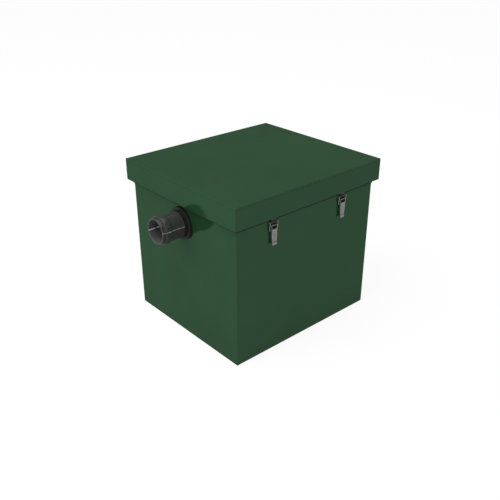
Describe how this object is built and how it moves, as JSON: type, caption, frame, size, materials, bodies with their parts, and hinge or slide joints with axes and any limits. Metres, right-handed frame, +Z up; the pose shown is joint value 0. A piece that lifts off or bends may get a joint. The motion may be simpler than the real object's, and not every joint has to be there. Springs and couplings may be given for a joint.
{
  "type": "under-sink grease trap",
  "caption": "Box-shaped grease separator of welded plastic sheet with a push-fit pipe socket at each end and a sealed box lid held by toggle latches.",
  "frame": {"origin": "middle of the base's underside, on the floor", "axes": "+Z up, -X towards the inlet socket, -Y towards the front with its latches"},
  "size_m": [0.534, 0.3748, 0.367],
  "materials": {
    "green_sheet": "satin welded sheet",
    "inner_sheet": "satin sheet",
    "pressed_steel": "pressed, satin",
    "steel_wire": "drawn wire",
    "dark_steel": "dark zinc, dull",
    "rim_rubber": "extruded",
    "grey_pipe": "moulded",
    "ring_rubber": "moulded"
  },
  "bodies": {
    "tank": {"base_panel": "green_sheet", "front_wall": "green_sheet", "back_wall": "green_sheet", "inlet_wall": "green_sheet", "outlet_wall": "green_sheet", "rim_seal": "rim_rubber", "lid_panel": "green_sheet", "lid_skirt_front": "green_sheet", "lid_skirt_back": "green_sheet", "lid_skirt_inlet": "green_sheet", "lid_skirt_outlet": "green_sheet", "lid_frame": "green_sheet", "inlet_elbow": "grey_pipe", "outlet_dip": "grey_pipe", "inlet_baffle": "inner_sheet", "outlet_baffle": "inner_sheet", "inlet_collar": "ring_rubber", "inlet_socket": "grey_pipe", "inlet_ring": "ring_rubber", "outlet_collar": "ring_rubber", "outlet_socket": "grey_pipe", "outlet_ring": "ring_rubber", "keeper_front_inlet": "dark_steel", "latch_base_front_inlet": "pressed_steel", "latch_pin_front_inlet": "pressed_steel", "keeper_front_outlet": "dark_steel", "latch_base_front_outlet": "pressed_steel", "latch_pin_front_outlet": "pressed_steel", "keeper_back_inlet": "dark_steel", "latch_base_back_inlet": "pressed_steel", "latch_pin_back_inlet": "pressed_steel", "keeper_back_outlet": "dark_steel", "latch_base_back_outlet": "pressed_steel", "latch_pin_back_outlet": "pressed_steel"},
    "lever_front_inlet": {"latch_lever_front_inlet": "pressed_steel"},
    "bail_front_inlet": {"latch_bail_front_inlet": "steel_wire"},
    "lever_front_outlet": {"latch_lever_front_outlet": "pressed_steel"},
    "bail_front_outlet": {"latch_bail_front_outlet": "steel_wire"},
    "lever_back_inlet": {"latch_lever_back_inlet": "pressed_steel"},
    "bail_back_inlet": {"latch_bail_back_inlet": "steel_wire"},
    "lever_back_outlet": {"latch_lever_back_outlet": "pressed_steel"},
    "bail_back_outlet": {"latch_bail_back_outlet": "steel_wire"}
  },
  "joints": [
    {"name": "lever_front_inlet_hinge", "type": "hinge", "parent": "tank", "child": "lever_front_inlet", "pos_m": [-0.1042, -0.17915, 0.298], "axis": [-1, 0, 0], "range_deg": [0, 120]},
    {"name": "bail_front_inlet_hinge", "type": "hinge", "parent": "lever_front_inlet", "child": "bail_front_inlet", "pos_m": [-0.1042, -0.17825, 0.288], "axis": [-1, 0, 0], "range_deg": [-150, 0]},
    {"name": "lever_front_outlet_hinge", "type": "hinge", "parent": "tank", "child": "lever_front_outlet", "pos_m": [0.0998, -0.17915, 0.298], "axis": [-1, 0, 0], "range_deg": [0, 120]},
    {"name": "bail_front_outlet_hinge", "type": "hinge", "parent": "lever_front_outlet", "child": "bail_front_outlet", "pos_m": [0.0998, -0.17825, 0.288], "axis": [-1, 0, 0], "range_deg": [-150, 0]},
    {"name": "lever_back_inlet_hinge", "type": "hinge", "parent": "tank", "child": "lever_back_inlet", "pos_m": [-0.1042, 0.17915, 0.298], "axis": [1, 0, 0], "range_deg": [0, 120]},
    {"name": "bail_back_inlet_hinge", "type": "hinge", "parent": "lever_back_inlet", "child": "bail_back_inlet", "pos_m": [-0.1042, 0.17825, 0.288], "axis": [1, 0, 0], "range_deg": [-150, 0]},
    {"name": "lever_back_outlet_hinge", "type": "hinge", "parent": "tank", "child": "lever_back_outlet", "pos_m": [0.0998, 0.17915, 0.298], "axis": [1, 0, 0], "range_deg": [0, 120]},
    {"name": "bail_back_outlet_hinge", "type": "hinge", "parent": "lever_back_outlet", "child": "bail_back_outlet", "pos_m": [0.0998, 0.17825, 0.288], "axis": [1, 0, 0], "range_deg": [-150, 0]}
  ],
  "couplings": [
    {"joint": "bail_front_inlet_hinge", "follows": "lever_front_inlet_hinge", "ratio": -1.25},
    {"joint": "bail_front_outlet_hinge", "follows": "lever_front_outlet_hinge", "ratio": -1.25},
    {"joint": "bail_back_inlet_hinge", "follows": "lever_back_inlet_hinge", "ratio": -1.25},
    {"joint": "bail_back_outlet_hinge", "follows": "lever_back_outlet_hinge", "ratio": -1.25}
  ]
}
